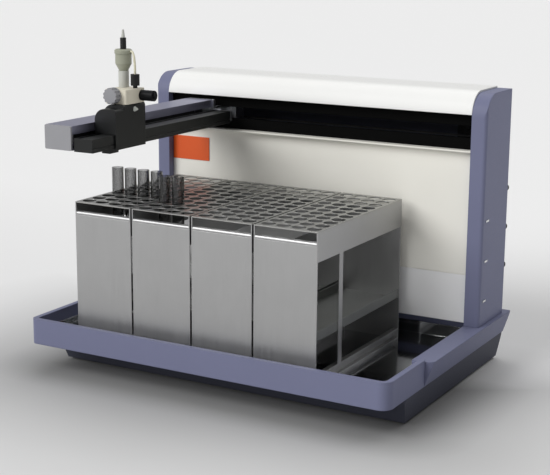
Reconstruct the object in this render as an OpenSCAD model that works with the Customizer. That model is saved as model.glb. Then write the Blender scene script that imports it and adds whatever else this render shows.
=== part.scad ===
// Bench-top X-Y fraction collector: a tray of test-tube racks under a travelling arm.
// Millimetres, +Z up, +Y to the back. The origin is the middle of the whole outline, on the bench.

/* [Base] */
// Free width between the left column and the first rack
side_gap = 13.5; // [10:0.5:30]
// Free depth between the tray's front wall and the racks
front_gap = 20.3; // [14:0.1:40]
// Gap between the racks and the columns
rack_back_gap = 2; // [1:0.5:6]
// Depth of the base behind the columns
shoulder_back = 15; // [10:1:30]
// Height of the rubber feet
foot_h = 3; // [2:0.5:8]
// Diameter of a rubber foot
foot_d = 30; // [16:1:40]
// How far the feet stand in from the plinth's sides
foot_in = 26; // [22:1:60]
// Height of the plinth
plinth_h = 32; // [20:1:50]
// How far the plinth stands back from the front of the tray
plinth_front_in = 41.8; // [30:0.1:50]
// How far the plinth stands in from the left side
plinth_left_in = 8.3; // [2:0.5:20]
// How far the plinth stands in from the right side
plinth_right_in = 9.1; // [8:0.1:20]
// How far the plinth's front leans in down to its foot
plinth_front_lean = 17.5; // [4:0.5:24]
// How far the plinth's right side leans in down to its foot
plinth_side_lean = 7; // [2:0.5:10]
// How far the plinth stands in from the back
plinth_back_in = 2; // [1:0.5:14]
// Corner radius of the plinth
plinth_r = 8; // [4:1:20]
// Height of the rear body above the plinth
shoulder_h = 28; // [20:1:40]
// Radius of the rear body's right front corner
shoulder_r = 10; // [3:1:10]
// Radius of the rear body's back corners
shoulder_back_r = 3; // [1:0.5:8]

/* [Tray] */
// Height of the tray's rim above the plinth
rim_h = 30.2; // [22:1:45]
// Thickness of the rim
rim_t = 6.5; // [4:0.5:7.5]
// Length of the tray's side walls, up to the rear body
tray_side_l = 92.8; // [70:0.1:110]
// How far the tray's right side stands in from the base's side
tray_right_in = 9.1; // [8:0.1:16]
// Outer radius of the tray's right front corner
tray_r = 13; // [8:1:24]
// Outer radius of the tray's left front corner
tray_left_r = 8; // [7:1:24]
// Sheet thickness of the drip pan
pan_t = 1; // [0.6:0.2:2]
// Height of the drip pan's turned-up edge
pan_lip = 15; // [6:1:20]
// Gap between the drip pan and what is round it
pan_gap = 0.3; // [0.1:0.1:1]
// How far the drip pan reaches in between the columns
pan_back = 32; // [20:1:50]

/* [Columns and hood] */
// Thickness of a column
column_t = 18.5; // [14:0.5:24]
// Depth of a column
column_d = 79; // [72:1:92]
// Height of the columns' tops above the bench
column_top = 336; // [334:1:380]
// How far the right column stands in from the base's side
column_right_in = 6; // [5:0.2:12]
// How far the left column stands in from the base's side
column_left_in = 18.3; // [12:0.1:24]
// Radius of the columns' and hood's rounded front
crown_r = 27; // [14:1:30]
// Radius of the columns' outer front edges
column_edge_r = 4; // [1:0.5:8]
// How far the hood stands above the columns
hood_rise = 2; // [0:0.5:3]
// Sheet thickness of the hood and the rear cover
casing_t = 2; // [1:0.2:3]
// Thickness of the panels behind the racks
panel_t = 2; // [1:0.2:3]
// How far the panels lie behind the columns' fronts
panel_in = 10; // [6:0.5:12]
// Height of the slot's lower edge above the bench
slot_z = 270.5; // [262:0.5:272]
// Height of the slot
slot_h = 41.5; // [40:0.5:46]
// Height of the opening in the slot cover
slit_h = 14; // [13:0.5:18]
// Distance from the columns to the ends of that opening
slit_end = 2; // [1:0.5:6]
// How far the slot cover reaches up behind the hood
cover_up = 8; // [4:1:16]
// Gap between the slot cover's ledge and the hood
cover_gap = 0.5; // [0.2:0.1:1]
// Height of the lower panel's bottom edge above the bench
panel_z = 64; // [63.2:0.2:75]
// Height of the lower panel
lower_panel_h = 58; // [30:1:90]

/* [Fittings] */
// Width of the blank plate on the back panel
plate_w = 54.5; // [20:0.5:80]
// Height of the blank plate
plate_h = 30; // [15:1:60]
// Thickness of the blank plate
plate_t = 0.8; // [0.4:0.2:2]
// Height of the blank plate's middle above the bench
plate_z = 241; // [200:1:250]
// Distance from the left column to the blank plate
plate_in = 0.5; // [0.5:0.5:20]
// Number of thumb screws, and of clips, on each column
fixings = 3; // [2:1:3]
// Diameter of the thumb screws that hold the rear cover
screw_d = 9; // [6:0.5:14]
// How far the thumb screws stand out behind the columns
screw_out = 18; // [8:0.5:24]
// Length of a thumb screw's neck
screw_neck_l = 7.2; // [2:0.2:7.8]
// Diameter of a thumb screw's neck
screw_neck_d = 5.4; // [3:0.2:5.8]
// Height of the lowest thumb screw
screw_z = 119; // [80:1:140]
// Spacing of the thumb screws
screw_step = 47.7; // [30:0.1:60]
// Length of a clip on the columns' outer sides
clip_l = 9; // [5:0.5:14]
// Height of a clip
clip_h = 2.4; // [1.5:0.1:5]
// Thickness of a clip
clip_t = 0.9; // [0.4:0.1:2]
// How far the clips lie behind the columns' fronts
clip_in = 9; // [5:1:40]
// Height of the lowest clip
clip_z = 93; // [75:1:140]
// Spacing of the clips
clip_step = 48; // [30:1:60]

/* [Racks] */
// Holes across a rack
columns = 4; // [2:1:4]
// Holes along a rack
rows = 11; // [5:1:11]
// Distance from hole to hole
hole_step = 18.7; // [18:0.1:19.2]
// Diameter of a hole for a tube
hole_d = 16; // [15:0.1:17]
// Material left round the holes, across the rack
rack_edge_w = 2.8; // [2:0.1:4]
// Material left round the holes, along the rack
rack_edge_d = 7.3; // [1:0.1:12]
// Gap between two racks
rack_gap = 2.4; // [0.4:0.1:4]
// Height of a rack
rack_h = 171; // [150:1:180]
// Sheet thickness of the racks
rack_t = 1.2; // [0.8:0.1:2]
// Gap between a rack's top plate and its panels' rolled edges
roll_drop = 11; // [4:0.5:24]
// Diameter of the rolled edge
roll_d = 6; // [4:0.5:8]
// Height of the band along a rack's sides
band_h = 33; // [20:1:40]
// Height of the channel along a rack's foot
foot_rail_h = 12.5; // [8:0.5:20]
// Width of the channel along a rack's foot
foot_rail_w = 6; // [4:0.5:10]
// Height of the shelf that the tubes stand on
shelf_z = 52; // [30:0.5:70]
// Height of the shelf's turned-up edges
shelf_lip = 9.5; // [3:0.5:12]
// Distance of the upright from the rack's front
upright_y = 52; // [30:1:100]
// Width of the upright
upright_w = 9; // [5:1:15]

/* [Tubes] */
// Diameter of a test tube
tube_d = 14; // [10:0.5:14.8]
// Wall of a test tube
tube_t = 1; // [0.6:0.1:1.6]
// Length of a test tube
tube_l = 150; // [130:1:150]
// Row of holes that holds tubes in the first rack
tube_row_1 = 4; // [1:1:5]
// Row of holes that holds tubes in the second rack
tube_row_2 = 3; // [1:1:5]
// Number of tubes in the second rack
tubes_in_2 = 2; // [1:1:2]

/* [X drive] */
// Diameter of the guide rods
rod_d = 12; // [8:0.5:14]
// Height of the lower guide rod
rod_z = 266; // [258:1:268]
// Distance between the two guide rods
rod_gap = 51; // [45:1:51]
// How far the guide rods lie behind the columns' fronts
rod_in = 33; // [28:1:36]
// Running clearance round the guide rods, on the radius
rod_clear = 0.05; // [0.02:0.01:0.1]
// Width of the slider on the guide rods
slider_w = 30; // [24:1:32]
// Distance from the beam's right side to the slider's middle
slider_at = 2.4; // [0:0.2:4]
// How far the slider's neck is narrower than the slider, on each side
neck_side = 7; // [5:0.5:9]
// Gap between the neck and the opening in the slot cover
neck_gap = 2; // [1:0.5:3]
// Thickness of the clamp that holds the belt
clamp_t = 5; // [3:0.5:8]
// Depth of the slider
slider_d = 18; // [17:0.5:20]
// Radius of the belt pulleys at the belt
pulley_r = 10; // [7:0.5:11]
// Width of the belts
belt_w = 6; // [4:0.5:8]
// Thickness of the belts
belt_t = 1.5; // [1:0.1:2]
// Gap between a belt and a pulley
belt_gap = 0.3; // [0.2:0.05:0.4]
// Distance from the columns to the pulleys' axes
pulley_in = 18; // [16:1:30]
// Side of the square motor
motor_w = 36; // [28:1:36]
// Gap between the belt and the motor
motor_gap = 6; // [3:0.5:10]
// Diameter of the pulley shafts
shaft_d = 5; // [3:0.5:6]
// How far a shaft stands out of its pulley
shaft_out = 2; // [1:0.5:4]
// Distance from the slider's back to the middle of the belt
belt_back = 8; // [6:0.5:9]
// How far the motor stands further in than the idler
motor_in = 4; // [0:1:10]
// Width of the idler's bracket
bracket_w = 20; // [12:1:24]
// Height of the idler's bracket
bracket_h = 18; // [12:1:24]
// Gap between the idler pulley and its bracket
bracket_gap = 1; // [0.5:0.5:2]

/* [Arm] */
// How far the arm stands out in front of the tray
arm_out = 48.2; // [20:1:80]
// Distance from the left column's inner side to the arm
arm_x = 33.1; // [33:0.1:60]
// Width of the beam
beam_w = 35.5; // [34:0.5:40]
// Height of the beam
beam_h = 26.6; // [25:0.2:27]
// Height of the beam's underside above the slot's lower edge
beam_rise = 10.2; // [9:0.2:11]
// Wall of the beam
beam_t = 2.5; // [1.6:0.1:3]
// Gap between the back of the arm and the columns
arm_clear = 0.5; // [0.5:0.5:2]
// Thickness of the plate at the back of the arm
back_plate_t = 4.5; // [2:0.5:6]
// How far that plate stands out beside the beam
back_plate_out = 2; // [0.5:0.5:2.2]
// Length of that plate's plug in the beam
plug_l = 18; // [8:1:20]
// Radius of the Y belt's pulleys
y_pulley_r = 7; // [5:0.5:8]
// Gap between the Y belt and the parts at its ends
y_belt_end = 1; // [0.5:0.5:3]
// Thickness of the end cap's face
cap_t = 2.4; // [1.5:0.1:4]
// Length of the end cap's plug in the beam
cap_plug = 5; // [3:0.5:12]
// Radius of the end cap's corners
cap_r = 1.5; // [0.5:0.5:3]
// Height of the groove in the beam's side
groove_h = 10; // [9:0.5:12]
// Height of the groove above the beam's underside
groove_rise = 7.3; // [6.5:0.1:8]
// Height of the strip that guides the carriage
guide_h = 3; // [2:0.2:3.4]
// Width of the strip that guides the carriage
guide_w = 3; // [2:0.5:4]
// How far the strip lies inside the beam's side
guide_in = 0.2; // [0.1:0.1:0.5]
// Width of the carriage's sleeve
sleeve_w = 28.6; // [27:0.2:34]
// Wall of the carriage's sleeve
sleeve_t = 1.6; // [1.2:0.1:2.2]
// Clearance between the sleeve and the track in it
sleeve_clear = 0.3; // [0.2:0.05:0.5]
// Height of the track
track_h = 14.8; // [13:0.2:16]
// Height of the track's underside above the beam's underside
track_drop = -0.8; // [-1.2:0.1:0]
// Wall of the track
track_t = 2; // [1.4:0.1:2.4]
// Width of the lengthwise slot in the track
track_slot = 5.4; // [5:0.1:6.4]
// Height of the line along the track's side, above its foot
line_rise = 4; // [2.5:0.5:7]
// Height of that line
line_h = 1.2; // [0.6:0.2:2]
// Depth of that line
line_d = 0.8; // [0.4:0.2:1.2]
// Length of the track's closed front end
track_end = 1.5; // [1:0.5:3]
// Length of the track's closed back end
track_back = 3; // [1:0.5:3]

/* [Carriage] */
// Length of the carriage
carriage_l = 56; // [52:0.5:56]
// How far the carriage stands out in front of the track
carriage_out = 5.8; // [2:0.2:6]
// Height of the carriage's block above its sleeve
block_h = 29.4; // [20:0.2:32]
// How much lower the block is at its front
step_h = 3.5; // [2:0.5:8]
// Length of the block's lower front
step_l = 16; // [8:1:18]
// Radius of the block's rounded upper edge
block_r = 13; // [4:1:13]
// Distance from the front of the carriage to the nozzle
nozzle_y = 46.6; // [42:0.1:48]
// Diameter of the nozzle
nozzle_d = 3; // [2:0.1:3.4]
// Distance from the beam to the nozzle
nozzle_x = 6.9; // [6.7:0.05:7.1]
// Height of the nozzle's tip above the bench
nozzle_z = 274.5; // [272:0.1:275.5]
// Radius of the block's right upper edge
block_edge_r = 3; // [1:0.5:5]
// Width of the lip under the carriage's front
lip_w = 11; // [8:1:18]
// Length of that lip
lip_l = 16; // [10:1:24]
// Height of that lip
lip_h = 4.5; // [3:0.5:6.5]
// Distance from the carriage's left side to that lip
lip_in = 9; // [4:0.5:9]
// Length of the grip that holds the Y belt
grip_l = 20; // [10:1:20]
// Distance from the carriage's front to that grip
grip_in = 16; // [12:1:16]
// Clearance round the grip and the belts' clamps
grip_gap = 0.3; // [0.2:0.1:0.4]
// Height of the nozzle's taper
taper_h = 1.5; // [1:0.5:3]
// Width of the valve block
valve_w = 28.4; // [20:0.2:28.4]
// Corner radius of the valve block
valve_r = 2; // [1:0.5:4]
// Depth of the valve block
valve_d = 36; // [26:1:37]
// Height of the valve block
valve_h = 16; // [12:1:22]
// Diameter of the valve's knob
knob_d = 18; // [10:1:20]
// Length of the valve's knob
knob_l = 9; // [5:1:11]
// Distance from the valve block's left side to the knob's middle
knob_in = 13; // [10:0.5:14]
// Gap between the knob and the valve block
knob_gap = 0.3; // [0.2:0.1:0.6]
// Height of the knob's rim above the carriage's block
knob_lift = 0.6; // [0.4:0.1:2]
// Diameter of a finger flute
flute_d = 3; // [1:0.5:3.5]
// Length of the knob's plain rim behind the flutes
knob_rim = 2; // [1:0.5:4]
// Number of finger flutes round the knob
knob_flutes = 12; // [6:1:16]
// Diameter of the solenoid
solenoid_d = 12; // [10:0.5:15]
// Length of the solenoid
solenoid_l = 17; // [10:0.5:18]
// Length of the solenoid's pin
pin_l = 2; // [1:0.5:4]
// Diameter of the sight tube
sight_d = 12; // [9:0.5:14]
// Height of the sight tube
sight_h = 18.5; // [12:0.5:24]
// Diameter of the cup, at its rim
cup_d = 20; // [17:0.5:24]
// Height of the cup
cup_h = 24; // [16:1:30]
// Radius of the cup's foot
cup_foot_r = 5; // [4:0.5:7]
// Height of the cup's tapered foot
cup_foot_h = 8; // [4:0.5:9]
// How far the cup's rim stands out
cup_rim_out = 0.8; // [0.4:0.2:1.2]
// Bevel of the cup's upper edge
cup_edge = 1.5; // [0.5:0.5:3]
// Height of the cup's rim
cup_rim_h = 5; // [3:0.5:6]
// Diameter of the nut on the cup
nut_d = 7.5; // [6:0.5:12]
// Height of the nut on the cup
nut_h = 12.5; // [6:0.5:16]
// Diameter of the inlet's tip, at the nut
tip_d = 4.5; // [3:0.5:5]
// Height of the inlet's tip above the nut
tip_h = 9; // [6:0.5:18]
// Diameter of the side fitting
side_d = 10; // [7:0.5:12]
// Height of the side fitting
side_h = 12.5; // [8:0.5:16]
// Height of the side fitting's neck
side_neck_h = 3; // [2:0.5:6]
// Diameter of the feed tube
feed_d = 2.6; // [2:0.2:3.2]
// Gap between the cup and the end of the feed tube
feed_gap = 0.2; // [0.2:0.05:0.4]
// Base diameter of the side lamp
lamp_d = 6; // [3:0.5:8]
// Height of the side lamp
lamp_h = 4; // [2:0.5:6]
// Distance from the carriage's front to the side lamp
lamp_in = 36; // [24:1:48]
// Distance from the block's top down to the side lamp
lamp_drop = 6; // [5:0.5:12]

/* [Hidden] */
$fn = 48;

// Small overlap that joins two shapes of one solid, and lets a cut run past a face
eps = 0.01;
// How far a cut runs past what it cuts
past = 1;

// Racks: the tray has room for five
places = 5;
rack_w = columns * hole_step + rack_edge_w;
rack_d = rows * hole_step + rack_edge_d;
rack_pitch = rack_w + rack_gap;

// The base follows from the racks that it holds
bed_d = rim_t + front_gap + rack_d + rack_back_gap;
base_w = column_left_in + 2 * column_t + side_gap + places * rack_pitch + column_right_in;
base_d = bed_d + column_d + shoulder_back;

// Places along X
x_right = base_w / 2;
x_left = -x_right;
tray_x1 = x_right - tray_right_in;
right_col_x1 = x_right - column_right_in;
right_col_x0 = right_col_x1 - column_t;
left_col_x0 = x_left + column_left_in;
left_col_x1 = left_col_x0 + column_t;

// Places along Y: the outline's front is the arm's cap, its back the thumb screws
screw_back_y = bed_d + column_d + screw_out;
outline_d = arm_out + max(screw_back_y, base_d);
y_front = arm_out - outline_d / 2;
y_back = y_front + base_d;
y_col = y_front + bed_d;
y_col_back = y_col + column_d;
y_side = y_front + tray_side_l;
y_pan = y_col + pan_back;
y_panel = y_col + panel_in;
y_arm0 = y_front - arm_out;
y_arm1 = y_col - arm_clear;
y_beam1 = y_arm1 - back_plate_t;

// Heights
z_plinth = foot_h;
z_deck = foot_h + plinth_h;
z_floor = z_deck + pan_t;
z_rim = z_deck + rim_h;
z_shoulder = z_deck + shoulder_h;
z_hood = slot_z + slot_h;
hood_top = column_top + hood_rise;
z_slit = slot_z + (slot_h - slit_h) / 2;
lower_panel_z1 = panel_z + lower_panel_h;

// Places of the racks, and of the holes in a rack
rack_x0 = left_col_x1 + side_gap;
rack_y0 = y_front + rim_t + front_gap;
tubes_across = [columns, tubes_in_2];
tube_rows = [tube_row_1, tube_row_2];
hole_x0 = (rack_w - (columns - 1) * hole_step) / 2;
hole_y0 = (rack_d - (rows - 1) * hole_step) / 2;

// Arm and carriage
beam_x0 = left_col_x1 + arm_x;
beam_x1 = beam_x0 + beam_w;
beam_z0 = slot_z + beam_rise;
beam_z1 = beam_z0 + beam_h;
groove_z0 = beam_z0 + groove_rise;
sleeve_x0 = beam_x1 + sleeve_clear;
sleeve_x1 = sleeve_x0 + sleeve_w;
track_y0 = y_arm0 + cap_t;
track_x0 = sleeve_x0 + sleeve_t + sleeve_clear;
track_x1 = sleeve_x1 - sleeve_t - sleeve_clear;
track_z0 = beam_z0 + track_drop;
track_z1 = track_z0 + track_h;
sleeve_z0 = track_z0 - sleeve_clear - sleeve_t;
sleeve_z1 = track_z1 + sleeve_clear + sleeve_t;
carriage_y0 = y_front - carriage_out;
carriage_y1 = carriage_y0 + carriage_l;
block_z1 = sleeve_z1 + block_h;
nozzle_at = [beam_x1 + nozzle_x, carriage_y0 + nozzle_y];
slot_at = nozzle_at[0];

// X drive
rod_y = y_col + rod_in;
slider_x = beam_x1 + slider_at;
neck_w = slider_w - 2 * neck_side;
neck_h = slit_h - 2 * neck_gap;
neck_z0 = z_slit + neck_gap;
rear_cover_y = y_col_back - casing_t;
belt_y = rod_y + slider_d / 2 + belt_back;
drive_x = right_col_x0 - pulley_in - motor_in;
idler_x = left_col_x1 + pulley_in;
pulley_z = rod_z + rod_gap / 2;
belt_r = pulley_r + belt_gap;

// Y drive, inside the beam
y_belt_r = y_pulley_r + belt_gap;
y_pulley_x = beam_x0 + beam_w / 2;
y_pulley_front = y_arm0 + cap_t + cap_plug + y_belt_end + y_belt_r + belt_t;
y_pulley_back = y_beam1 - plug_l - y_belt_end - y_belt_r - belt_t;
y_belt_z = (groove_z0 + guide_h + groove_z0 + groove_h) / 2 - belt_w / 2;

// What stands on the carriage
valve_x0 = sleeve_x0 + (sleeve_w - valve_w) / 2;
valve_y1 = carriage_y1;
valve_y0 = valve_y1 - valve_d;
valve_z1 = block_z1 + valve_h;
sight_z1 = valve_z1 + sight_h;
cup_z1 = sight_z1 + cup_h;
nut_z1 = cup_z1 + nut_h;
knob_at = [valve_x0 + knob_in, block_z1 + knob_lift + knob_d / 2];
side_x = valve_x0 + valve_w - side_d / 2;
side_y = nozzle_at[1] - side_d / 5;
side_z0 = valve_z1 + side_neck_h;

// Route of the feed tube, from the cup's side down to the side fitting
feed_start = [nozzle_at[0] + cup_d / 2 + feed_gap, nozzle_at[1], cup_z1 - cup_rim_h / 2];
feed_end = [side_x, side_y, side_z0 + side_h];
feed_drop = feed_start[2] - feed_end[2];
feed_bow = feed_d;
feed_steps = 4;
feed_sides = 8;
feed_route = [
    feed_start,
    feed_start + [feed_bow / 2, 0, 0],
    feed_start + [feed_bow, 0, -feed_drop / 20],
    feed_start + [2 * feed_bow, -feed_bow / 2, -feed_drop / 4],
    feed_end + [0, 0, feed_drop / 3],
    feed_end
];

// Functions that sweep a round section along a route
function unit(v) = v / norm(v);
function curve_point(a, b, c, d, t) =
    0.5 * (2 * b + (c - a) * t + (2 * a - 5 * b + 4 * c - d) * t * t + (3 * b - a - 3 * c + d) * t * t * t);
function smooth(route, steps) = [
    for (i = [0 : len(route) - 2])
        for (s = [0 : steps - 1])
            let (before = route[max(i - 1, 0)], after = route[min(i + 2, len(route) - 1)])
                curve_point(before, route[i], route[i + 1], after, s / steps),
    route[len(route) - 1]
];
function tangent(p, i) = unit(p[min(i + 1, len(p) - 1)] - p[max(i - 1, 0)]);
function ring(c, t, r, sides) =
    let (u = unit(cross(t, [0.3, 1, 0.1])), v = cross(t, u))
    [for (k = [0 : sides - 1]) c + r * (cos(360 * k / sides) * u + sin(360 * k / sides) * v)];

module swept_tube(p, d, sides) {
    points = [for (i = [0 : len(p) - 1]) each ring(p[i], tangent(p, i), d / 2, sides)];
    last = (len(p) - 1) * sides;
    skin = [
        for (i = [0 : len(p) - 2])
            for (k = [0 : sides - 1])
                let (a = i * sides + k, b = i * sides + (k + 1) % sides)
                each [[a, b, b + sides], [a, b + sides, a + sides]]
    ];
    start = [for (k = [sides - 1 : -1 : 0]) k];
    end = [for (k = [0 : sides - 1]) last + k];
    polyhedron(points, concat(skin, [start, end]));
}

// Extrusions of an outline along each axis
module along_x(x0, x1) {
    translate([x0, 0, 0]) rotate([90, 0, 90]) linear_extrude(height = x1 - x0) children();
}
module along_y(y0, y1) {
    translate([0, y1, 0]) rotate([90, 0, 0]) linear_extrude(height = y1 - y0) children();
}
module along_z(z0, z1) {
    translate([0, 0, z0]) linear_extrude(height = z1 - z0) children();
}
module block(x, y, z) {
    translate([x[0], y[0], z[0]]) cube([x[1] - x[0], y[1] - y[0], z[1] - z[0]]);
}
module rod_x(x0, x1, y, z, d) {
    translate([x0, y, z]) rotate([0, 90, 0]) cylinder(h = x1 - x0, d = d);
}
module rod_y(x, y0, y1, z, d) {
    translate([x, y1, z]) rotate([90, 0, 0]) cylinder(h = y1 - y0, d = d);
}
module rod_z(x, y, z0, z1, d) {
    translate([x, y, z0]) cylinder(h = z1 - z0, d = d);
}

// Rectangle whose four corners have their own radii, from the front left round to the back left
module round_rect(x, y, r) {
    centres = [
        [x[0] + r[0], y[0] + r[0]], [x[1] - r[1], y[0] + r[1]],
        [x[1] - r[2], y[1] - r[2]], [x[0] + r[3], y[1] - r[3]]
    ];
    polygon([
        [x[0] + r[0], y[0]], [x[1] - r[1], y[0]], [x[1], y[0] + r[1]], [x[1], y[1] - r[2]],
        [x[1] - r[2], y[1]], [x[0] + r[3], y[1]], [x[0], y[1] - r[3]], [x[0], y[0] + r[0]]
    ]);
    for (i = [0 : 3]) translate(centres[i]) circle(r = r[i]);
}

// Side view of a column: a rectangle whose upper front corner is a quarter round
module crowned(y0, y1, z0, z1, r) {
    translate([y0 + r, z0]) square([y1 - y0 - r, z1 - z0]);
    translate([y0, z0]) square([r + eps, z1 - z0 - r]);
    translate([y0 + r, z1 - r]) circle(r = r, $fn = 96);
}

// Base

// Plinth whose front and right side lean in towards the bench
module base_plinth() {
    x = [x_left + plinth_left_in, x_right - plinth_right_in];
    y = [y_front + plinth_front_in, y_back - plinth_back_in];
    color("#4a4c58")
    difference() {
        along_z(z_plinth, z_deck) round_rect(x, y, [plinth_r, plinth_r, shoulder_back_r, plinth_r]);
        along_x(x_left - past, x_right + past)
            polygon([
                [y[0], z_deck], [y[0] + plinth_front_lean, z_plinth],
                [y[0] + plinth_front_lean, z_plinth - past],
                [y[0] - past, z_plinth - past], [y[0] - past, z_deck]
            ]);
        along_y(y_front - past, y_back + past)
            polygon([
                [x[1], z_deck], [x[1] + past, z_deck], [x[1] + past, z_plinth - past],
                [x[1] - plinth_side_lean, z_plinth - past], [x[1] - plinth_side_lean, z_plinth]
            ]);
    }
}

module feet() {
    color("#1c1c1e")
    for (x = [x_left + plinth_left_in + foot_in, x_right - plinth_right_in - plinth_side_lean - foot_in])
        for (y = [y_front + plinth_front_in + plinth_front_lean + foot_in, y_back - plinth_back_in - foot_in])
            rod_z(x, y, 0, z_plinth, foot_d);
}

// The rear body: a block across the back, with an arm along each side of the drip pan.
// Its right side leans in down to the tray's side
module rear_body() {
    color("#7a7c92")
    difference() {
        along_z(z_deck, z_shoulder)
            difference() {
                round_rect(
                    [x_left, x_right], [y_side, y_back],
                    [shoulder_back_r, shoulder_r, shoulder_back_r, shoulder_back_r]
                );
                translate([left_col_x1, y_side - past])
                    square([right_col_x0 - left_col_x1, y_pan - y_side + past]);
            }
        along_y(y_side - past, y_back + past)
            polygon([
                [x_right, z_shoulder], [x_right + past, z_shoulder], [x_right + past, z_deck - past],
                [tray_x1, z_deck - past], [tray_x1, z_deck]
            ]);
    }
}

// The tray's rim: three walls that end against the rear body's arms
module tray_frame() {
    color("#8688a0")
    along_z(z_deck, z_rim)
        difference() {
            round_rect([x_left, tray_x1], [y_front, y_side], [tray_left_r, tray_r, eps, eps]);
            round_rect(
                [x_left + rim_t, tray_x1 - rim_t], [y_front + rim_t, y_side + past],
                [tray_left_r - rim_t + past, tray_r - rim_t, eps, eps]
            );
        }
}

// The pan's outline: wide inside the tray's rim, narrower between the rear body's arms
module pan_outline(gap) {
    x0 = x_left + rim_t + gap;
    x1 = tray_x1 - rim_t - gap;
    y0 = y_front + rim_t + gap;
    y1 = y_side - gap;
    round_rect([x0, x1], [y0, y1], [tray_left_r - rim_t + past, tray_r - rim_t, eps, eps]);
    translate([left_col_x1 + gap, y1 - eps])
        square([right_col_x0 - left_col_x1 - 2 * gap, y_pan - gap - y1 + eps]);
}

module drip_pan() {
    color("#c8cacc")
    union() {
        along_z(z_deck, z_floor) pan_outline(pan_gap);
        along_z(z_deck, z_floor + pan_lip)
            difference() {
                pan_outline(pan_gap);
                pan_outline(pan_gap + pan_t);
            }
    }
}

// Columns, hood and panels

// Each column is the side view cut to its plan, whose outer front corner is rounded
module column(x0, front_left_r, front_right_r) {
    intersection() {
        along_x(x0 - past, x0 + column_t + past) crowned(y_col, y_col_back, z_shoulder, column_top, crown_r);
        along_z(z_shoulder - past, column_top + past)
            round_rect(
                [x0, x0 + column_t], [y_col, y_col_back + past],
                [front_left_r, front_right_r, eps, eps]
            );
    }
}
module left_column() {
    color("#777a92") column(left_col_x0, column_edge_r, eps);
}
module right_column() {
    color("#777a92") column(right_col_x0, eps, column_edge_r);
}

module hood() {
    color("#f4f4f2")
    along_x(left_col_x1, right_col_x0)
        difference() {
            crowned(y_col, y_col_back, z_hood - crown_r, hood_top, crown_r);
            crowned(
                y_col + casing_t, y_col_back + past,
                z_hood - crown_r - past, hood_top - casing_t, crown_r - casing_t
            );
            translate([y_col - past, z_hood - crown_r - past])
                square([column_d + 2 * past, crown_r + past]);
        }
}

module slot_cover() {
    x = [left_col_x1, right_col_x0];
    color("#0c0d0d")
    difference() {
        union() {
            block(x, [y_panel, y_panel + panel_t], [slot_z, z_hood + cover_up]);
            block(x, [y_col + casing_t + cover_gap, y_panel + eps], [z_hood, z_hood + casing_t]);
        }
        block(
            [left_col_x1 + slit_end, right_col_x0 - slit_end],
            [y_panel - past, y_panel + panel_t + past], [z_slit, z_slit + slit_h]
        );
    }
}

module back_panel() {
    color("#d9d8d0")
    union() {
        block([left_col_x1, right_col_x0], [y_panel, y_panel + panel_t], [lower_panel_z1, slot_z]);
        block([left_col_x1, right_col_x0], [y_col, y_panel + eps], [slot_z - panel_t, slot_z]);
    }
}

module lower_back_panel() {
    color("#cfd0d2")
    block([left_col_x1, right_col_x0], [y_panel, y_panel + panel_t], [panel_z, lower_panel_z1]);
}

module rear_cover() {
    color("#5f6274")
    block([left_col_x1, right_col_x0], [rear_cover_y, y_col_back], [z_shoulder, hood_top - casing_t]);
}

module blank_plate() {
    x0 = left_col_x1 + plate_in;
    color("#d8622a")
    block([x0, x0 + plate_w], [y_panel - plate_t, y_panel], [plate_z - plate_h / 2, plate_z + plate_h / 2]);
}

// Clips on the outer side of each column
module side_clips() {
    color("#c9cdd4")
    for (i = [0 : fixings - 1])
        for (x = [left_col_x0 - clip_t, right_col_x1])
            block(
                [x, x + clip_t], [y_col + clip_in, y_col + clip_in + clip_l],
                [clip_z + i * clip_step - clip_h / 2, clip_z + i * clip_step + clip_h / 2]
            );
}

// Thumb screws behind the columns, each a neck with a knurled head
module rear_thumb_screws() {
    y_head = y_col_back + screw_neck_l;
    color("#2b2c33")
    for (i = [0 : fixings - 1])
        for (x = [left_col_x0 + column_t / 2, right_col_x1 - column_t / 2])
            translate([0, 0, screw_z + i * screw_step])
                union() {
                    rod_y(x, y_col_back, y_head + eps, 0, screw_neck_d);
                    rod_y(x, y_head, y_col_back + screw_out, 0, screw_d);
                }
}

// Racks, each in its own place: front and back panels with rolled edges, bands, channels and uprights
module at_rack(i) {
    translate([rack_x0 + i * rack_pitch, rack_y0, z_floor]) children();
}

module rack_panel() {
    roll_z = rack_h - roll_drop - roll_d / 2;
    // The panel's top edge lies inside the roll
    block([0, rack_w], [0, rack_t], [0, roll_z - roll_d / 4]);
    rod_x(0, rack_w, roll_d / 2, roll_z, roll_d);
}

module rack_side() {
    y = [rack_t - eps, rack_d - rack_t + eps];
    // Band under the top plate
    block([0, rack_t], [0, rack_d], [rack_h - band_h, rack_h - rack_t]);
    // Channel along the foot
    block([0, foot_rail_w], y, [0, rack_t]);
    block([0, foot_rail_w], y, [foot_rail_h - rack_t, foot_rail_h]);
    block([foot_rail_w - rack_t, foot_rail_w], y, [0, foot_rail_h]);
    // Upright between the channel and the band
    block([0, rack_t], [upright_y, upright_y + upright_w], [foot_rail_h - eps, rack_h - band_h + eps]);
}

module rack_frame(i) {
    color("#9a9a9a")
    at_rack(i)
        union() {
            rack_panel();
            translate([0, rack_d, 0]) mirror([0, 1, 0]) rack_panel();
            rack_side();
            translate([rack_w, 0, 0]) mirror([1, 0, 0]) rack_side();
        }
}

module rack_top(i) {
    color("#8f918e")
    at_rack(i)
        along_z(rack_h - rack_t, rack_h)
            difference() {
                square([rack_w, rack_d]);
                for (c = [0 : columns - 1])
                    for (r = [0 : rows - 1])
                        translate([hole_x0 + c * hole_step, hole_y0 + r * hole_step]) circle(d = hole_d);
            }
}

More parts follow.
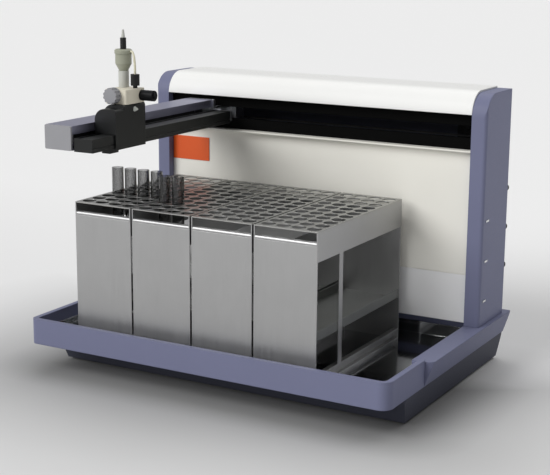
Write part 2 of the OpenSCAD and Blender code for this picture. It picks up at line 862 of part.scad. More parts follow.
module rack_shelf(i) {
    x = [rack_t, rack_w - rack_t];
    y = [rack_t, rack_d - rack_t];
    color("#7c7e7c")
    at_rack(i)
        difference() {
            block(x, y, [shelf_z - rack_t, shelf_z + shelf_lip]);
            block(
                [x[0] + rack_t, x[1] - rack_t], [y[0] - past, y[1] + past],
                [shelf_z, shelf_z + shelf_lip + past]
            );
        }
}

// A glass tube with a round bottom, revolved from its wall's section
module test_tube() {
    r = tube_d / 2;
    rotate_extrude($fn = 32)
        difference() {
            union() {
                translate([0, r]) square([r, tube_l - r]);
                intersection() {
                    translate([0, r]) circle(r = r);
                    square([r, r + eps]);
                }
            }
            translate([0, r]) square([r - tube_t, tube_l]);
            translate([0, r]) circle(r = r - tube_t);
            translate([-tube_d, 0]) square([tube_d, tube_l]);
        }
}

module rack_tubes(i) {
    y = hole_y0 + (tube_rows[i] - 1) * hole_step;
    color("#3c4040")
    at_rack(i)
        for (c = [0 : min(tubes_across[i], columns) - 1])
            translate([hole_x0 + c * hole_step, y, shelf_z]) test_tube();
}

// X drive, inside the hood

module x_guide_rods() {
    color("#c0c4c8")
    for (z = [rod_z, rod_z + rod_gap]) rod_x(left_col_x1, right_col_x0, rod_y, z, rod_d);
}

// Motor on the rear cover, with its shaft through the drive pulley
module x_motor() {
    y0 = belt_y + belt_w / 2 + motor_gap;
    color("#202226")
    union() {
        block(
            [drive_x - motor_w / 2, drive_x + motor_w / 2], [y0, rear_cover_y],
            [pulley_z - motor_w / 2, pulley_z + motor_w / 2]
        );
        rod_y(drive_x, belt_y - belt_w / 2 - shaft_out, y0 + eps, pulley_z, shaft_d);
    }
}

module pulley(x) {
    color("#d2d4d6")
    difference() {
        rod_y(x, belt_y - belt_w / 2, belt_y + belt_w / 2, pulley_z, 2 * pulley_r);
        rod_y(x, belt_y - belt_w, belt_y + belt_w, pulley_z, shaft_d + 2 * rod_clear);
    }
}
module x_drive_pulley() {
    pulley(drive_x);
}
module x_idler_pulley() {
    pulley(idler_x);
}

module x_idler_bracket() {
    y0 = belt_y + belt_w / 2 + bracket_gap;
    color("#9ca0a6")
    union() {
        block(
            [idler_x - bracket_w / 2, idler_x + bracket_w / 2], [y0, rear_cover_y],
            [pulley_z - bracket_h / 2, pulley_z + bracket_h / 2]
        );
        rod_y(idler_x, belt_y - belt_w / 2 - shaft_out, y0 + eps, pulley_z, shaft_d);
    }
}

// A belt round two pulleys, as an outline between the pulleys' centres
module belt_outline(a, b, r) {
    d = b - a;
    difference() {
        union() {
            translate([a, 0]) circle(r = r + belt_t);
            translate([b, 0]) circle(r = r + belt_t);
            translate([a, -r - belt_t]) square([d, 2 * (r + belt_t)]);
        }
        translate([a, 0]) circle(r = r);
        translate([b, 0]) circle(r = r);
        translate([a, -r]) square([d, 2 * r]);
    }
}

module x_belt() {
    color("#17181a")
    along_y(belt_y - belt_w / 2, belt_y + belt_w / 2)
        translate([0, pulley_z]) belt_outline(idler_x, drive_x, belt_r);
}

// Arm

// Slider on the guide rods, with a neck through the slot into the beam and the track
module arm_slider() {
    clamp_z1 = pulley_z - belt_r - belt_t - grip_gap;
    slider_z = [rod_z - rod_d, rod_z + rod_gap + rod_d];
    color("#a8acb2")
    difference() {
        union() {
            block(
                [slider_x - slider_w / 2, slider_x + slider_w / 2],
                [rod_y - slider_d / 2, rod_y + slider_d / 2], slider_z
            );
            block(
                [slider_x - neck_w / 2, slider_x + neck_w / 2],
                [y_arm1 - eps, rod_y - slider_d / 2 + eps], [neck_z0, neck_z0 + neck_h]
            );
            // Plug in the beam's open end
            block(
                [beam_x0 + beam_t, beam_x1 - beam_t],
                [y_beam1 - plug_l, y_beam1 + eps], [beam_z0 + beam_t, beam_z1 - beam_t]
            );
            // Plate behind the beam and the track
            block([beam_x0, beam_x1 + back_plate_out], [y_beam1, y_arm1], [beam_z0, beam_z1]);
            block([beam_x1, track_x1], [y_beam1, y_arm1], [track_z0 + track_t, track_z1]);
            // Clamp under the belt
            block(
                [slider_x - slider_w / 2, slider_x + slider_w / 2],
                [rod_y + slider_d / 2 - eps, belt_y + belt_w / 2], [clamp_z1 - clamp_t, clamp_z1]
            );
        }
        for (z = [rod_z, rod_z + rod_gap])
            rod_x(slider_x - slider_w, slider_x + slider_w, rod_y, z, rod_d + 2 * rod_clear);
    }
}

// Beam: a hollow extrusion with a groove along its right side
module arm_beam() {
    color("#8c8ea8")
    along_y(y_arm0 + cap_t, y_beam1)
        difference() {
            translate([beam_x0, beam_z0]) square([beam_w, beam_h]);
            translate([beam_x0 + beam_t, beam_z0 + beam_t])
                square([beam_w - 2 * beam_t, beam_h - 2 * beam_t]);
            translate([beam_x1 - beam_t - past, groove_z0]) square([beam_t + 2 * past, groove_h]);
        }
}

// End cap: a face flush with the beam's sides, and a plug that fits in its open end
module beam_end_cap() {
    x = [beam_x0 + beam_t, beam_x1 - beam_t];
    z = [beam_z0 + beam_t, beam_z1 - beam_t];
    color("#a6a6a6")
    union() {
        along_y(y_arm0, y_arm0 + cap_t)
            round_rect([beam_x0, beam_x1], [beam_z0, beam_z1], [cap_r, cap_r, cap_r, cap_r]);
        block(x, [y_arm0 + cap_t - eps, y_arm0 + cap_t + cap_plug], z);
    }
}

module carriage_guide() {
    color("#d4d6da")
    block(
        [beam_x1 - guide_w, beam_x1 - guide_in],
        [y_arm0 + cap_t + cap_plug + y_belt_end, y_beam1 - plug_l - y_belt_end],
        [groove_z0, groove_z0 + guide_h]
    );
}

// Track beside the beam: a closed box with lengthwise slots for the nozzle, joined at both ends
module track() {
    slot_y = [track_y0 + track_end, y_beam1 - track_back];
    line_z = track_z0 + line_rise;
    color("#141516")
    difference() {
        block([track_x0, track_x1], [track_y0, y_beam1], [track_z0, track_z1]);
        block(
            [track_x1 - line_d, track_x1 + past], [track_y0 - past, y_beam1 + past],
            [line_z, line_z + line_h]
        );
        block([track_x0 + track_t, track_x1 - track_t], slot_y, [track_z0 + track_t, track_z1 - track_t]);
        block(
            [slot_at - track_slot / 2, slot_at + track_slot / 2], slot_y,
            [track_z0 - past, track_z1 + past]
        );
    }
}

module y_belt() {
    color("#17181a")
    along_z(y_belt_z, y_belt_z + belt_w)
        translate([y_pulley_x, 0]) rotate(90) belt_outline(y_pulley_front, y_pulley_back, y_belt_r);
}

module y_pulley(y) {
    color("#d2d4d6")
    difference() {
        rod_z(y_pulley_x, y, y_belt_z, y_belt_z + belt_w, 2 * y_pulley_r);
        rod_z(y_pulley_x, y, y_belt_z - past, y_belt_z + belt_w + past, shaft_d + 2 * rod_clear);
    }
}
module y_drive_pulley() {
    y_pulley(y_pulley_back);
}
module y_idler_pulley() {
    y_pulley(y_pulley_front);
}
module y_pulley_pins() {
    color("#9ca0a6")
    for (y = [y_pulley_front, y_pulley_back])
        rod_z(y_pulley_x, y, beam_z0 + beam_t, beam_z1 - beam_t, shaft_d);
}

// Carriage

// Front view of the carriage's block, rounded over at the top left
module block_outline(x, z1) {
    round_rect(x, [sleeve_z1 - eps, z1], [eps, eps, block_edge_r, block_r]);
}

module carriage_body() {
    x = [sleeve_x0, sleeve_x1];
    y = [carriage_y0, carriage_y1];
    step_y = y[0] + step_l;
    grip_x0 = y_pulley_x + y_belt_r + belt_t + grip_gap;
    color("#1d1f1f")
    difference() {
        union() {
            // Sleeve with a rounded block on top, lower at the front
            along_y(y[0], y[1]) translate([x[0], sleeve_z0]) square([sleeve_w, sleeve_z1 - sleeve_z0 + eps]);
            along_y(y[0], step_y + eps) block_outline(x, block_z1 - step_h);
            along_y(step_y, y[1]) block_outline(x, block_z1);
            // Lip under the front edge
            block(
                [x[0] + lip_in, x[0] + lip_in + lip_w], [y[0], y[0] + lip_l],
                [sleeve_z0 - lip_h, sleeve_z0 + eps]
            );
            // Grip through the beam's groove to the belt
            block(
                [grip_x0, x[0] + eps], [y[0] + grip_in, y[0] + grip_in + grip_l],
                [groove_z0 + guide_h + grip_gap, groove_z0 + groove_h - grip_gap]
            );
        }
        block(
            [x[0] + sleeve_t, x[1] - sleeve_t], [y[0] - past, y[1] + past],
            [sleeve_z0 + sleeve_t, sleeve_z1 - sleeve_t]
        );
        rod_z(nozzle_at[0], nozzle_at[1], sleeve_z0 - past, block_z1 + past, nozzle_d);
    }
}

module nozzle() {
    color("#c9ccd0")
    union() {
        rod_z(nozzle_at[0], nozzle_at[1], nozzle_z + taper_h, block_z1, nozzle_d);
        translate([nozzle_at[0], nozzle_at[1], nozzle_z])
            cylinder(h = taper_h + eps, d1 = nozzle_d / 2, d2 = nozzle_d);
    }
}

module valve_block() {
    color("#e6e0cf")
    difference() {
        along_z(block_z1, valve_z1)
            round_rect(
                [valve_x0, valve_x0 + valve_w], [valve_y0, valve_y1],
                [valve_r, valve_r, valve_r, valve_r]
            );
        rod_z(nozzle_at[0], nozzle_at[1], block_z1 - past, valve_z1 + past, nozzle_d);
    }
}

// Fluted knob on the front of the valve block, with its stem into the block
module valve_knob() {
    y1 = valve_y0 - knob_gap;
    color("#9b9b9b")
    difference() {
        rod_y(knob_at[0], y1 - knob_l, y1, knob_at[1], knob_d);
        for (k = [0 : knob_flutes - 1])
            translate([knob_at[0], 0, knob_at[1]]) rotate([0, k * 360 / knob_flutes, 0])
                rod_y(knob_d / 2 + flute_d / 5, y1 - knob_l - past, y1 - knob_rim, 0, flute_d);
    }
}

module solenoid() {
    x0 = valve_x0 + valve_w;
    y = valve_y1 - solenoid_d / 2;
    z = block_z1 + valve_h / 2;
    color("#101112")
    union() {
        rod_x(x0, x0 + solenoid_l, y, z, solenoid_d);
        rod_x(x0 + solenoid_l - eps, x0 + solenoid_l + pin_l, y, z, solenoid_d / 2);
    }
}

module side_fitting() {
    color("#0f1011")
    union() {
        rod_z(side_x, side_y, valve_z1, side_z0 + eps, side_d / 2);
        rod_z(side_x, side_y, side_z0, side_z0 + side_h, side_d);
    }
}

module sight_tube() {
    color("#c2c4bd")
    rod_z(nozzle_at[0], nozzle_at[1], valve_z1, sight_z1, sight_d);
}

// Cup: a rim, a straight wall and a tapered foot
module drop_cup() {
    r = cup_d / 2;
    color("#8e907c")
    translate([nozzle_at[0], nozzle_at[1], sight_z1])
        rotate_extrude()
            polygon([
                [0, 0], [cup_foot_r, 0], [r - cup_rim_out, cup_foot_h], [r - cup_rim_out, cup_h - cup_rim_h],
                [r, cup_h - cup_rim_h], [r, cup_h - cup_edge], [r - cup_edge, cup_h], [0, cup_h]
            ]);
}

module cup_nut() {
    color("#0f1011")
    translate([nozzle_at[0], nozzle_at[1], cup_z1]) cylinder(h = nut_h, d = nut_d, $fn = 6);
}

module inlet_tip() {
    color("#b9bab4")
    translate([nozzle_at[0], nozzle_at[1], nut_z1]) cylinder(h = tip_h, d1 = tip_d, d2 = tip_d / 2);
}

module feed_tube() {
    color("#d8d6bd")
    swept_tube(smooth(feed_route, feed_steps), feed_d, feed_sides);
}

// Small conical lamp on the carriage's side
module side_lamp() {
    color("#cfd3ce")
    translate([sleeve_x1, carriage_y0 + lamp_in, block_z1 - lamp_drop])
        rotate([0, 90, 0]) cylinder(h = lamp_h, d1 = lamp_d, d2 = lamp_d / 3);
}

base_plinth();
feet();
rear_body();
tray_frame();
drip_pan();
left_column();
right_column();
hood();
slot_cover();
back_panel();
lower_back_panel();
rear_cover();
blank_plate();
side_clips();
rear_thumb_screws();
rack_frame(0);  // rack_1_frame
rack_top(0);  // rack_1_top
rack_shelf(0);  // rack_1_shelf
rack_tubes(0);  // rack_1_tubes
rack_frame(1);  // rack_2_frame
rack_top(1);  // rack_2_top
rack_shelf(1);  // rack_2_shelf
rack_tubes(1);  // rack_2_tubes
rack_frame(2);  // rack_3_frame
rack_top(2);  // rack_3_top
rack_shelf(2);  // rack_3_shelf
rack_frame(3);  // rack_4_frame
rack_top(3);  // rack_4_top
rack_shelf(3);  // rack_4_shelf
x_guide_rods();
x_motor();
x_drive_pulley();
x_idler_bracket();
x_idler_pulley();
x_belt();
arm_slider();
arm_beam();
beam_end_cap();
carriage_guide();
track();
y_belt();
y_drive_pulley();
y_idler_pulley();
y_pulley_pins();
carriage_body();
nozzle();
valve_block();
valve_knob();
solenoid();
side_fitting();
sight_tube();
drop_cup();
cup_nut();
inlet_tip();
feed_tube();
side_lamp();
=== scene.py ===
# %% [markdown]
# A fraction collector is a bench-top machine. Its arm carries a drop head over racks of
# test tubes and moves on when a tube has its share. Its shapes could be modelled here,
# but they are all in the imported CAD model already, with their joints. So the solids keep
# their places and shapes, and these cells give each of them the finish that its real
# material has, and then add a camera, a floor and light.

# %% Load the frame
import math

import bpy
from mathutils import Euler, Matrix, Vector


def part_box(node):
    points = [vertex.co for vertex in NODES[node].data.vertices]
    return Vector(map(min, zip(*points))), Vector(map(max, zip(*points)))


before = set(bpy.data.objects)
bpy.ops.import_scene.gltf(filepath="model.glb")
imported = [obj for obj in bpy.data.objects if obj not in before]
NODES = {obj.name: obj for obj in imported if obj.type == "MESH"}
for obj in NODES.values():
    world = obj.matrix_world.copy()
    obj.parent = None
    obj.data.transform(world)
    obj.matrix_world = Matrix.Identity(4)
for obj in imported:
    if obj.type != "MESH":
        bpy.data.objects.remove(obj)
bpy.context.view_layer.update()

# %% [markdown]
# The photograph was taken with a long lens from the front right, a little above the
# bench, and held half a degree out of level. A short lens close by would show the same
# parts, but would spread the corners. A long lens keeps the verticals nearly parallel,
# so the camera stands far back. Its place comes from fitting the machine's corners to
# the photograph's.

# %% Camera
MM = 0.001
CAMERA_AT_MM = (763.94, -1328.79, 512.1)
CAMERA_AZIMUTH = 29.5
CAMERA_ELEVATION = 12.82
CAMERA_ROLL = 0.44
LENS_MM = 87.64
SENSOR_MM = 36.0
LEVEL = 90  # an unturned camera looks straight down

camera_data = bpy.data.cameras.new("camera")
camera_data.lens = LENS_MM
camera_data.sensor_width = SENSOR_MM
camera = bpy.data.objects.new("camera", camera_data)
bpy.context.scene.collection.objects.link(camera)
camera.location = [v * MM for v in CAMERA_AT_MM]
camera.rotation_euler = Euler(
    (math.radians(LEVEL - CAMERA_ELEVATION), 0, math.radians(CAMERA_AZIMUTH)), "XYZ"
)
camera.rotation_euler.rotate_axis("Z", math.radians(CAMERA_ROLL))
bpy.context.scene.camera = camera
bpy.context.scene.view_settings.view_transform = "Standard"
print("camera at", [round(v, 3) for v in camera.location])


# %% [markdown]
# A colour that is written as a web hex value is stored for the screen, with its dark
# tones spread out. Light adds up on a linear scale. The values could be worked out by
# hand and typed in, but a hex value can be compared with a picture, so each channel is
# turned to the linear scale just before a material uses it.

# %% Colours
SRGB_KNEE = 0.04045
SRGB_SLOPE = 12.92
SRGB_OFFSET = 0.055
SRGB_GAMMA = 2.4


def to_linear(channel):
    """One sRGB channel on the linear scale, both from 0 to 1."""
    if channel <= SRGB_KNEE:
        return channel / SRGB_SLOPE
    return ((channel + SRGB_OFFSET) / (1 + SRGB_OFFSET)) ** SRGB_GAMMA


def paint(hex_value):
    """An sRGB hex colour as linear RGBA."""
    channels = [int(hex_value[i : i + 2], 16) / 255 for i in (1, 3, 5)]
    return (*[to_linear(c) for c in channels], 1.0)


print("middle grey on the linear scale:", [round(v, 3) for v in paint("#808080")])


# %% [markdown]
# A material is a small network of nodes. It could be wired by hand in the shader editor.
# Here a few helpers add and link the nodes, so that each finish below reads as a list of
# what the surface does, and the same finish comes out each time.

# %% Nodes
def add(tree, kind, inputs=None, **settings):
    """Adds one node: settings go on the node, inputs are values or sockets to link."""
    node = tree.nodes.new(kind)
    for name, value in settings.items():
        setattr(node, name, value)
    for key, value in (inputs or {}).items():
        if isinstance(value, bpy.types.NodeSocket):
            tree.links.new(value, node.inputs[key])
        else:
            node.inputs[key].default_value = value
    return node


def calculate(tree, operation, *values):
    """One step of arithmetic on numbers or sockets."""
    inputs = dict(enumerate(values))
    return add(tree, "ShaderNodeMath", inputs, operation=operation).outputs["Value"]


def new_material(name):
    """An empty material, and the tree to build in."""
    material = bpy.data.materials.new(name)
    material.use_nodes = True
    tree = material.node_tree
    tree.nodes.clear()
    return material, tree


print("helpers that add nodes are ready")


# %% [markdown]
# No real surface is even. Its colour drifts over centimetres, and its roughness over
# fractions of a millimetre. An image of a surface could show that, but it would need
# unwrapping and would blur close by. Noise in the object's own space needs neither, and
# stretching it along one axis turns its lumps into brush lines.

# %% Patterns
NOISE_LOW, NOISE_HIGH = 0.3, 0.7  # most of a noise's values lie between these
FINE_DETAIL = 3


def place(tree, size_mm):
    """Positions on the object, stretched so that one unit is size_mm along each axis."""
    where = add(tree, "ShaderNodeTexCoord").outputs["Object"]
    scale = [1 / (s * MM) for s in size_mm]
    return add(tree, "ShaderNodeMapping", {"Vector": where, "Scale": scale}).outputs["Vector"]


def noise(tree, size_mm, detail=2, roughness=0.5):
    """Noise whose lumps are about size_mm along each axis, from 0 to 1."""
    inputs = {
        "Vector": place(tree, size_mm),
        "Scale": 1.0,
        "Detail": detail,
        "Roughness": roughness,
    }
    return add(tree, "ShaderNodeTexNoise", inputs).outputs["Fac"]


def span(tree, value, low, high, from_low=NOISE_LOW, from_high=NOISE_HIGH):
    """Maps a value onto low to high."""
    inputs = {
        "Value": value,
        "From Min": from_low,
        "From Max": from_high,
        "To Min": low,
        "To Max": high,
    }
    return add(tree, "ShaderNodeMapRange", inputs).outputs["Result"]


def vary(tree, value, middle, less, more):
    """A noise as a spread round a middle value."""
    return span(tree, value, middle - less, middle + more)


def blend_colours(tree, value, colours):
    """Runs a value through evenly spaced colours."""
    ramp = add(tree, "ShaderNodeValToRGB", {"Fac": value})
    stops = ramp.color_ramp.elements
    while len(stops) < len(colours):
        stops.new(position=1)  # each stop gets its own place below
    for i, colour in enumerate(colours):
        stops[i].position = i / (len(colours) - 1)
        stops[i].color = paint(colour)
    return ramp.outputs["Color"]


print("noise is read between", NOISE_LOW, "and", NOISE_HIGH)


# %% [markdown]
# Every edge of a made part is a little round: sheet is deburred, paint flows off a
# corner and a mould has a radius. A bevel on the mesh would show it too, with thousands
# more faces. The bevel node bends only the light at an edge, which is enough for radii
# under two millimetres, and the fine grain goes on top as bumps.

# %% Edges and shader
EDGE_SAMPLES = 4


def relief(tree, height, depth_mm, edge_mm):
    """A normal with the height's bumps, over edges that look rounded to edge_mm."""
    edge = add(tree, "ShaderNodeBevel", {"Radius": edge_mm * MM}, samples=EDGE_SAMPLES)
    inputs = {
        "Height": height,
        "Distance": depth_mm * MM,
        "Strength": 1.0,
        "Normal": edge.outputs["Normal"],
    }
    return add(tree, "ShaderNodeBump", inputs).outputs["Normal"]


def surface(tree, **inputs):
    """The shader itself. Names are the shader's sockets with _ for a space."""
    named = {key.replace("_", " "): value for key, value in inputs.items()}
    shader = add(tree, "ShaderNodeBsdfPrincipled", named)
    add(tree, "ShaderNodeOutputMaterial", {"Surface": shader.outputs["BSDF"]})


DRESSED = set()


def dress(material, *names):
    """Gives CAD solids a material."""
    for name in names:
        slots = NODES[name].data.materials
        slots.clear()
        slots.append(material)
        DRESSED.add(name)
    print(material.name, "on", len(names), "solids")


print("solids to dress:", len(NODES))


# %% [markdown]
# The machine's metal casings are powder coated. The powder melts into a film with a faint
# orange peel a millimetre or two across, which breaks up a reflection and keeps the
# sheen broad. One flat colour would look like plastic film, so the colour drifts a
# little and the roughness follows the peel. The same recipe serves every coated piece,
# with its own colour, because one plant coats them all. On the plinth, though, the dark slate is
# painted shade for the shadow under the tray's overhang.

# %% Powder coat
COAT_CLOUD_MM = (60, 60, 60)
COAT_IOR = 1.5
COAT_SHEEN = 0.12
PEEL_DEPTH_MM = 0.02
PEEL_SMOOTHER, PEEL_ROUGHER = 0.04, 0.05


def powder_coat(name, light, dark, roughness, peel_mm=1.6, edge_mm=1.4):
    """A baked powder film over metal."""
    material, tree = new_material(name)
    cloud = noise(tree, COAT_CLOUD_MM, FINE_DETAIL)
    peel = noise(tree, (peel_mm, peel_mm, peel_mm))
    surface(
        tree,
        Base_Color=blend_colours(tree, cloud, [dark, light]),
        Roughness=vary(tree, peel, roughness, PEEL_SMOOTHER, PEEL_ROUGHER),
        IOR=COAT_IOR,
        Specular_IOR_Level=COAT_SHEEN,
        Normal=relief(tree, peel, PEEL_DEPTH_MM, edge_mm),
    )
    return material


body_coat = powder_coat("powder_coat_lavender_grey", "#787b96", "#737690", roughness=0.42)
# darker than the body's coat: on the plinth this slate is painted shade under the tray's
# overhang, and the rear cover wears the same dark coat
slate_coat_and_plinth_shade = powder_coat("powder_coat_slate_and_painted_shade", "#4c4e5a", "#474955", roughness=0.5)
hood_coat = powder_coat("powder_coat_white", "#f4f4f2", "#f2f2f0", roughness=0.3)
panel_coat = powder_coat("powder_coat_cream", "#f4f2ea", "#efede4", roughness=0.5)
lower_coat = powder_coat("powder_coat_light_grey", "#f6f6f6", "#f2f2f2", roughness=0.35)
black_coat = powder_coat(
    "powder_coat_black", "#17181b", "#121316", roughness=0.45, peel_mm=0.8, edge_mm=0.4
)

dress(body_coat, "tray_frame", "left_column", "right_column", "rear_body")
# the plinth's dark slate is painted shade under the tray's overhang
dress(slate_coat_and_plinth_shade, "base_plinth", "rear_cover")
dress(hood_coat, "hood")
dress(panel_coat, "back_panel")
dress(lower_coat, "lower_back_panel")
dress(black_coat, "rear_thumb_screws", "x_motor", "solenoid")


# %% [markdown]
# The racks are folded from stainless sheet that was rolled and then brushed in one
# direction. The brushing leaves hair lines along the sheet, so a highlight smears
# across them. The shader's anisotropy could smear it with no lines at all, but then a
# close view would be bare. Noise drawn out along one axis gives both the lines and the
# smear. The lines are a little coarser than real ones, so that they show in the picture.
# The drip pan is the same steel, polished until it mirrors.

# %% Brushed stainless steel
METAL_CLOUD_MM = (40, 40, 40)
METAL_CLOUD_TINT = 0.12
HAIR_BREAKUP = 0.6
HAIR_SMOOTHER, HAIR_ROUGHER = 0.05, 0.07
RACKS = (1, 2, 3, 4)


def brushed_steel(name, light, dark, roughness, hair_mm, depth_mm=0.012, edge_mm=0.4):
    """Metal with hair lines: hair_mm is their size along each axis."""
    material, tree = new_material(name)
    hair = noise(tree, hair_mm, FINE_DETAIL, HAIR_BREAKUP)
    cloud = noise(tree, METAL_CLOUD_MM)
    drift = span(tree, cloud, -METAL_CLOUD_TINT, METAL_CLOUD_TINT)
    tint = calculate(tree, "ADD", hair, drift)
    surface(
        tree,
        Base_Color=blend_colours(tree, tint, [dark, light]),
        Metallic=1.0,
        Roughness=vary(tree, hair, roughness, HAIR_SMOOTHER, HAIR_ROUGHER),
        Normal=relief(tree, hair, depth_mm, edge_mm),
    )
    return material


panel_steel = brushed_steel(
    "stainless_brushed_upright", "#b4b4b4", "#a8a8a8", roughness=0.42, hair_mm=(0.6, 0.6, 30)
)
top_steel = brushed_steel(
    "stainless_brushed_lengthwise", "#b0b0ae", "#9c9c9a", roughness=0.36, hair_mm=(0.5, 30, 0.5)
)
shelf_steel = brushed_steel(
    "stainless_mill_finish", "#8e908e", "#7e807e", roughness=0.45, hair_mm=(0.8, 24, 0.8)
)
pan_steel = brushed_steel(
    "stainless_polished",
    "#dcdddf",
    "#d2d4d6",
    roughness=0.1,
    hair_mm=(0.8, 60, 0.8),
    depth_mm=0.002,
    edge_mm=1.0,
)

dress(panel_steel, *[f"rack_{i}_frame" for i in RACKS])
dress(top_steel, *[f"rack_{i}_top" for i in RACKS])
dress(shelf_steel, *[f"rack_{i}_shelf" for i in RACKS])
dress(pan_steel, "drip_pan")


# %% [markdown]
# The test tubes are borosilicate glass, drawn from a melt. A clear tube shows mostly at
# its edges, where the wall is seen along its depth and takes most of the light that
# comes from behind. Many bounces of light could find those dark edges by themselves, at
# a high price in time. So the glass is tinted darker where it turns away from the eye,
# and refraction does the rest.

# %% Glass
DRAW_LINES_MM = (3, 3, 60)
DRAW_ROUGHNESS = 0.03
EDGE_BLEND = 0.4
GLASS_FROM_FACE_TO_EDGE = ["#b8b8b8", "#767676", "#1e1e1e"]
BOROSILICATE_IOR = 1.47


def clear_glass(name):
    """Glass that looks darker at its edges."""
    material, tree = new_material(name)
    drawn = noise(tree, DRAW_LINES_MM)
    facing = add(tree, "ShaderNodeLayerWeight", {"Blend": EDGE_BLEND}).outputs["Facing"]
    surface(
        tree,
        Base_Color=blend_colours(tree, facing, GLASS_FROM_FACE_TO_EDGE),
        Roughness=span(tree, drawn, 0.0, DRAW_ROUGHNESS),
        Transmission_Weight=1.0,
        IOR=BOROSILICATE_IOR,
    )
    return material


glass = clear_glass("borosilicate_glass_drawn")
dress(glass, "rack_1_tubes", "rack_2_tubes")


# %% [markdown]
# Guide rods are ground, which leaves fine rings round them. Milled aluminium is duller.
# The beam is an extrusion: its die leaves lines along its length, and the anodic layer
# over them is a thin, hard, faintly coloured skin. Each could have a recipe of its own,
# but all of them are metal with lines, so the brushed recipe serves, with the lines
# turned to the way that each part is cut or pressed.

# %% Machined metals
rod_steel = brushed_steel(
    "steel_ground", "#d2d4d6", "#c4c6c8", roughness=0.2, hair_mm=(0.3, 8, 8), depth_mm=0.003
)
milled_aluminium = brushed_steel(
    "aluminium_milled", "#c4c6c9", "#b4b6ba", roughness=0.38, hair_mm=(1.2, 1.2, 12)
)
beam_aluminium = brushed_steel(
    "aluminium_extruded_anodised", "#9c9cb0", "#9090a4", roughness=0.4, hair_mm=(0.7, 80, 0.7)
)

dress(rod_steel, "x_guide_rods", "carriage_guide", "y_pulley_pins", "nozzle", "side_clips")
dress(milled_aluminium, "y_drive_pulley", "y_idler_pulley", "x_idler_bracket", "arm_slider")
dress(beam_aluminium, "arm_beam")


# %% [markdown]
# Small parts are moulded. The mould's skin was etched or spark eroded, and the plastic
# copies that grain: about half a millimetre on a matt part and almost none on a glossy
# one. A flat roughness would do from far away, but the grain is what tells plastic from
# paint close by. Belts and feet are rubber, which scatters most of its light.

# %% Plastics and rubber
FLOW_MM = (25, 25, 25)
GRAIN_SMOOTHER, GRAIN_ROUGHER = 0.06, 0.08


def moulded(name, light, dark, roughness, grain_mm=0.5, depth_mm=0.02, edge_mm=0.6, **extra):
    """A plastic or rubber part with its mould's grain. Extra inputs go to the shader."""
    material, tree = new_material(name)
    grain = noise(tree, (grain_mm, grain_mm, grain_mm))
    flow = noise(tree, FLOW_MM)
    surface(
        tree,
        Base_Color=blend_colours(tree, flow, [dark, light]),
        Roughness=vary(tree, grain, roughness, GRAIN_SMOOTHER, GRAIN_ROUGHER),
        Normal=relief(tree, grain, depth_mm, edge_mm),
        **extra,
    )
    return material


black_abs = moulded(
    "abs_black_spark_eroded", "#151717", "#101111", roughness=0.42, Specular_IOR_Level=0.35
)
slot_black = moulded(
    "abs_black_matt", "#070707", "#050505", roughness=0.7, Specular_IOR_Level=0.05
)
pulley_acetal = moulded(
    "acetal_black_turned", "#0c0c0c", "#0a0a0a", roughness=0.5, Specular_IOR_Level=0.1
)
grey_abs = moulded("abs_grey_spark_eroded", "#98989c", "#919195", roughness=0.5)
cream_acetal = moulded("acetal_cream_milled", "#ece6d4", "#e2dbc8", roughness=0.4)
khaki_pp = moulded(
    "polypropylene_khaki_moulded", "#a6a896", "#989a88", roughness=0.4, edge_mm=0.8
)
pale_pp = moulded("polypropylene_natural_moulded", "#c9cac4", "#bcbdb6", roughness=0.35)
orange_vinyl = moulded(
    "vinyl_orange_calendered", "#e45c14", "#de5410", roughness=0.35, grain_mm=1.5, depth_mm=0.005
)
lamp_lens = moulded(
    "polycarbonate_lens", "#d4d8d2", "#c8ccc6", roughness=0.15, grain_mm=2.0, depth_mm=0.002
)
hose_pvc = moulded(
    "pvc_tube_extruded", "#e4e0c6", "#d8d4ba", roughness=0.25, grain_mm=3.0, depth_mm=0.002
)
rubber = moulded(
    "rubber_moulded", "#1a1a1b", "#131314", roughness=0.75, grain_mm=0.8, depth_mm=0.03
)

dress(black_abs, "carriage_body", "track", "side_fitting", "cup_nut")
dress(slot_black, "slot_cover")
dress(pulley_acetal, "x_drive_pulley", "x_idler_pulley")
dress(grey_abs, "beam_end_cap", "valve_knob")
dress(cream_acetal, "valve_block")
dress(khaki_pp, "drop_cup")
dress(pale_pp, "sight_tube", "inlet_tip")
dress(orange_vinyl, "blank_plate")
dress(lamp_lens, "side_lamp")
dress(hose_pvc, "feed_tube")
dress(rubber, "feet", "x_belt", "y_belt")
print("without a finish:", sorted(set(NODES) - DRESSED))


# %% [markdown]
# The machine stands on a pale studio sweep. Its colour is darker towards the viewer, which is
# painted shade for the studio light falling off across the paper. A studio's big lamp overhead
# also leaves a wide, faint shade round the foot of whatever stands under it. Rays of such a soft
# lamp would need many samples, so the paper is tinted by its distance from the machine instead.
# It still takes the real shadow.

# %% Floor
# painted shade: the paper's colour darkens towards the viewer, where the studio light falls off
FLOOR_NEAR_SHADED = "#dedede"
FLOOR_FAR = "#f2f2f2"
FLOOR_FADE_Y = (-0.5, 0.8)
FLOOR_HALF = 14.0
FLOOR_BACK = 28.0
PAPER_ROUGHNESS = 0.9
PAPER_SHEEN = 0.2
SHADE_REACH = 0.32
SHADE_BEHIND_Y = (0.05, 0.25)
SHADES = ["#969696", "#d3d3d3", "#e7e7e7", "#f6f6f6", "#ffffff"]
MIX_FIRST, MIX_SECOND, MIX_COLOUR = 6, 7, 2  # the Mix node's colour sockets, by number


def distance_outside(tree, value, half):
    """How far a coordinate lies outside the machine's half width, never below zero."""
    size = calculate(tree, "ABSOLUTE", value)
    past = calculate(tree, "SUBTRACT", size, half)
    return calculate(tree, "MAXIMUM", past, 0.0)


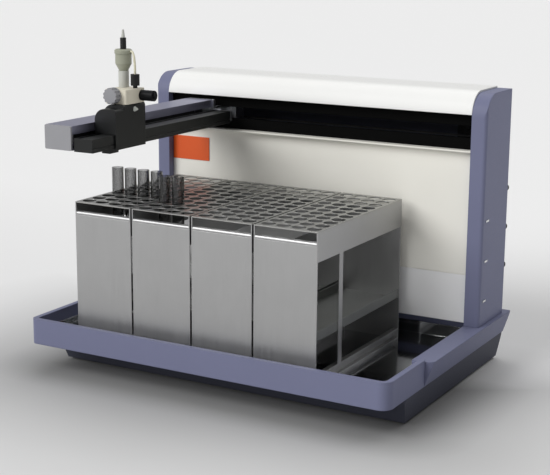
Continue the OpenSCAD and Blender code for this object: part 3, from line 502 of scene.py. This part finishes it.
def foot_shade(tree, where):
    """Grey that darkens the paper towards the machine's foot, in front and at its sides."""
    low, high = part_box("base_plinth")
    part = add(tree, "ShaderNodeSeparateXYZ", {"Vector": where}).outputs
    across = distance_outside(tree, part["X"], high.x)
    along = distance_outside(tree, part["Y"], -low.y)
    corner = add(tree, "ShaderNodeCombineXYZ", {"X": across, "Y": along}).outputs["Vector"]
    away = add(tree, "ShaderNodeVectorMath", {0: corner}, operation="LENGTH").outputs["Value"]
    near = span(tree, away, 0, 1, 0, SHADE_REACH)
    behind = span(tree, part["Y"], 0, 1, *SHADE_BEHIND_Y)
    return blend_colours(tree, calculate(tree, "MAXIMUM", near, behind), SHADES)


def paper_sweep():
    """Paper that fades between two greys, with the shade round the machine's foot."""
    material, tree = new_material("paper_sweep")
    where = add(tree, "ShaderNodeTexCoord").outputs["Object"]
    y = add(tree, "ShaderNodeSeparateXYZ", {"Vector": where}).outputs["Y"]
    fade = span(tree, y, 0, 1, *FLOOR_FADE_Y)
    paper = blend_colours(tree, fade, [FLOOR_NEAR_SHADED, FLOOR_FAR])
    inputs = {"Factor": 1.0, MIX_FIRST: paper, MIX_SECOND: foot_shade(tree, where)}
    tinted = add(tree, "ShaderNodeMix", inputs, data_type="RGBA", blend_type="MULTIPLY")
    surface(
        tree,
        Base_Color=tinted.outputs[MIX_COLOUR],
        Roughness=PAPER_ROUGHNESS,
        Specular_IOR_Level=PAPER_SHEEN,
    )
    return material


def make_floor():
    """A flat sheet that runs further back than forward."""
    mesh = bpy.data.meshes.new("floor")
    x, y0, y1 = FLOOR_HALF, -FLOOR_HALF, FLOOR_BACK
    mesh.from_pydata([(-x, y0, 0), (x, y0, 0), (x, y1, 0), (-x, y1, 0)], [], [(0, 1, 2, 3)])
    floor = bpy.data.objects.new("floor", mesh)
    bpy.context.scene.collection.objects.link(floor)
    mesh.materials.append(paper_sweep())
    print("floor", 2 * FLOOR_HALF, "m wide")


make_floor()


# %% [markdown]
# Plain studio light. Area lamps would fall off along the sweep. A sun lamp lights it
# evenly, however far it runs, and a wide sun angle gives it the soft shadow of a big
# diffuser. The key stands to the left of the lens, so the faces that look right are the
# darker ones. A top light from behind picks out the hood and lays the machine's shadow
# towards the viewer.

# %% Lamps
def diffused_sun(name, towards_lamp, angle_degrees, strength):
    """A sun lamp as wide as the angle says."""
    data = bpy.data.lights.new(name, "SUN")
    data.angle = math.radians(angle_degrees)
    data.energy = strength
    lamp = bpy.data.objects.new(name, data)
    bpy.context.scene.collection.objects.link(lamp)
    lamp.rotation_euler = Vector(towards_lamp).to_track_quat("Z", "Y").to_euler()
    print(name, "lamp of", strength, "over", angle_degrees, "degrees")


diffused_sun("key", towards_lamp=(-0.42, -0.76, 0.53), angle_degrees=40, strength=2.05)
diffused_sun("top", towards_lamp=(0.1, 0.45, 0.89), angle_degrees=70, strength=1.25)


# %% [markdown]
# The room's own light fills the rest. Metal and glass would see the white walls and
# screens of a pale studio. Those could be built, but a brighter room in reflections
# does the same with one number more.

# %% Room
ROOM_LIGHT = 0.26
REFLECTED_LIGHT = 0.45

world = bpy.data.worlds.new("room")
bpy.context.scene.world = world
world.use_nodes = True
room = world.node_tree
room.nodes.clear()
ray = add(room, "ShaderNodeLightPath").outputs
seen_in_surface = calculate(room, "MAXIMUM", ray["Is Glossy Ray"], ray["Is Transmission Ray"])
glow = span(room, seen_in_surface, ROOM_LIGHT, REFLECTED_LIGHT, 0, 1)
background = add(room, "ShaderNodeBackground", {"Color": paint("#ffffff"), "Strength": glow})
add(room, "ShaderNodeOutputWorld", {"Surface": background.outputs["Background"]})
print("room light", ROOM_LIGHT, "and", REFLECTED_LIGHT, "in reflections")
